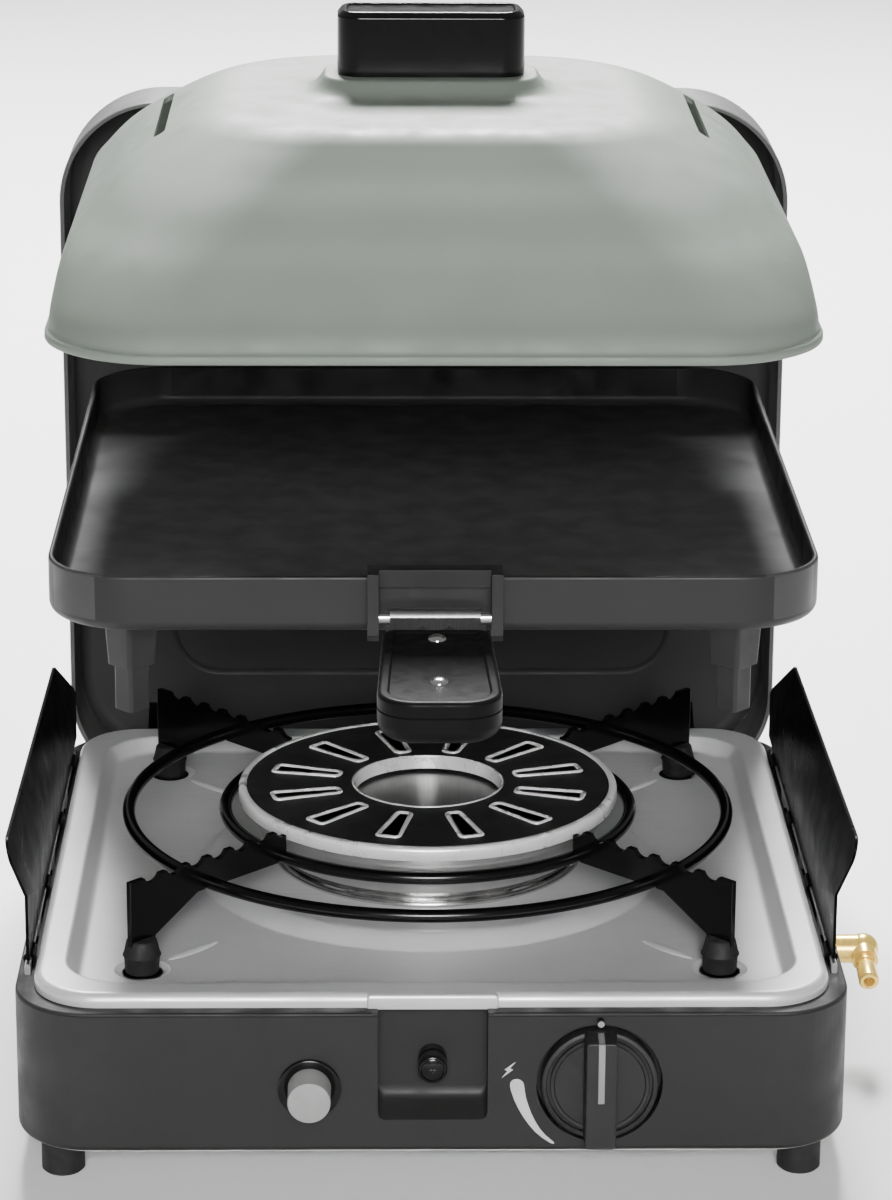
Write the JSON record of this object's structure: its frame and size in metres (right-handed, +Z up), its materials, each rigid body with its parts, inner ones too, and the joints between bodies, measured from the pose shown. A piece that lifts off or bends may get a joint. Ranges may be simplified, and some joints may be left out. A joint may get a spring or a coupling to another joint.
{
  "type": "single burner gas stove",
  "caption": "Square portable gas stove with an upright rear cover, folding wind shields, a trivet over a slotted burner, a grill pan with feet and a domed lid.",
  "frame": {"origin": "on the floor under the middle of the body and the burner", "axes": "+Z up, -Y to the front with the knob, +X to the right with the gas inlet"},
  "size_m": [0.3485, 0.506, 0.4272],
  "materials": {
    "housing_grey": "fine matt stove enamel",
    "cover_grey": "satin enamel",
    "black_enamel": "gloss vitreous enamel",
    "pan_coat": "cast aluminium with a matt non-stick coating",
    "lid_paint": "pressed aluminium with satin paint",
    "disc_black": "matt heat-resistant paint",
    "pressed_steel": "fine brushed",
    "pressed_zinc": "zinc plated",
    "polished_steel": "polished",
    "brass": "machined",
    "tube_alloy": "die-cast",
    "copper_lead": "drawn copper",
    "foot_rubber": "moulded",
    "wire_sleeve": "silicone sleeve",
    "knob_plastic": "fine grain",
    "handle_plastic": "fine grain",
    "gloss_black": "polished",
    "light_plastic": "satin",
    "piezo_plastic": "moulded",
    "ceramic": null
  },
  "bodies": {
    "base": {"base_housing": "housing_grey", "bottom_plate": "pressed_zinc", "base_screws": "pressed_zinc", "rubber_feet": "foot_rubber", "steel_top": "pressed_steel", "mixing_tube": "tube_alloy", "burner_bowl": "polished_steel", "burner_nut": "pressed_zinc", "flame_spreader": "pressed_steel", "burner_trim_ring": "polished_steel", "burner_disc": "disc_black", "flame_slot_rims": "polished_steel", "gas_valve": "brass", "igniter_collar": "gloss_black", "piezo_igniter": "piezo_plastic", "feed_pipe": "tube_alloy", "supply_pipe": "tube_alloy", "gas_injector": "brass", "thermocouple": "copper_lead", "ignition_electrode": "ceramic", "ignition_wire": "wire_sleeve", "latch_stud": "gloss_black", "latch_screw": "pressed_zinc", "inlet_stub": "brass", "inlet_locknut": "brass", "shield_rod_left": "pressed_zinc", "shield_rod_right": "pressed_zinc", "hinge_brackets": "pressed_zinc", "hinge_pins": "polished_steel"},
    "cover": {"cover_shell": "cover_grey", "cover_hinge_arms": "black_enamel", "catch_bracket": "pressed_zinc"},
    "catch": {"cover_catch": "pressed_zinc"},
    "shield_left": {"wind_shield_left": "black_enamel"},
    "shield_right": {"wind_shield_right": "black_enamel"},
    "trivet": {"trivet_outer_ring": "black_enamel", "trivet_inner_ring": "black_enamel", "trivet_arms": "black_enamel", "trivet_feet": "black_enamel"},
    "pan": {"pan_shell": "pan_coat", "pan_feet": "pan_coat", "handle_bracket": "pan_coat", "handle_pin": "polished_steel"},
    "pan_handle": {"handle_tang": "pressed_zinc", "handle_grip_upper": "handle_plastic", "handle_grip_lower": "handle_plastic", "handle_rivets": "polished_steel"},
    "lid": {"lid_shell": "lid_paint", "lid_grip": "gloss_black", "lid_screws": "pressed_zinc"},
    "push_rod": {"magnet_push_rod": "brass"},
    "knob": {"knob": "knob_plastic", "knob_pointer": "light_plastic", "valve_spindle": "brass"},
    "igniter": {"igniter_button": "light_plastic"},
    "elbow": {"elbow_body": "brass", "elbow_nut": "brass", "hose_nozzle": "brass"}
  },
  "joints": [
    {"name": "cover_hinge", "type": "hinge", "parent": "base", "child": "cover", "pos_m": [0, 0.152, 0.046], "axis": [1, 0, 0], "range_deg": [0, 7]},
    {"name": "catch_fold", "type": "hinge", "parent": "cover", "child": "catch", "pos_m": [0, 0.182, 0.35], "axis": [1, 0, 0], "range_deg": [-100, 0]},
    {"name": "shield_left_fold", "type": "hinge", "parent": "base", "child": "shield_left", "pos_m": [-0.156, 0, 0.075], "axis": [0, 1, 0], "range_deg": [0, 45]},
    {"name": "shield_right_fold", "type": "hinge", "parent": "base", "child": "shield_right", "pos_m": [0.156, 0, 0.075], "axis": [0, -1, 0], "range_deg": [0, 45]},
    {"name": "trivet_lift", "type": "slide", "parent": "base", "child": "trivet", "axis": [0, 0, 1], "range_m": [0, 0.06]},
    {"name": "pan_lift", "type": "slide", "parent": "base", "child": "pan", "axis": [0, 0, 1], "range_m": [-0.1128, 0]},
    {"name": "lid_lift", "type": "slide", "parent": "pan", "child": "lid", "axis": [0, 0, 1], "range_m": [-0.0755, 0]},
    {"name": "handle_fold", "type": "hinge", "parent": "pan", "child": "pan_handle", "pos_m": [0, -0.1652, 0.2306], "axis": [-1, 0, 0], "range_deg": [0, 80]},
    {"name": "knob_press", "type": "slide", "parent": "base", "child": "push_rod", "axis": [0, 1, 0], "range_m": [0, 0.003], "stiffness_N_per_m": 1500},
    {"name": "knob_turn", "type": "hinge", "parent": "push_rod", "child": "knob", "pos_m": [0.0634, -0.1593, 0.043], "axis": [0, -1, 0], "range_deg": [0, 140]},
    {"name": "igniter_press", "type": "slide", "parent": "base", "child": "igniter", "axis": [0, 1, 0], "range_m": [0, 0.005], "stiffness_N_per_m": 1200},
    {"name": "inlet_swivel", "type": "hinge", "parent": "base", "child": "elbow", "pos_m": [0.17, -0.025, 0.0425], "axis": [1, 0, 0], "range_deg": [-90, 90]}
  ]
}
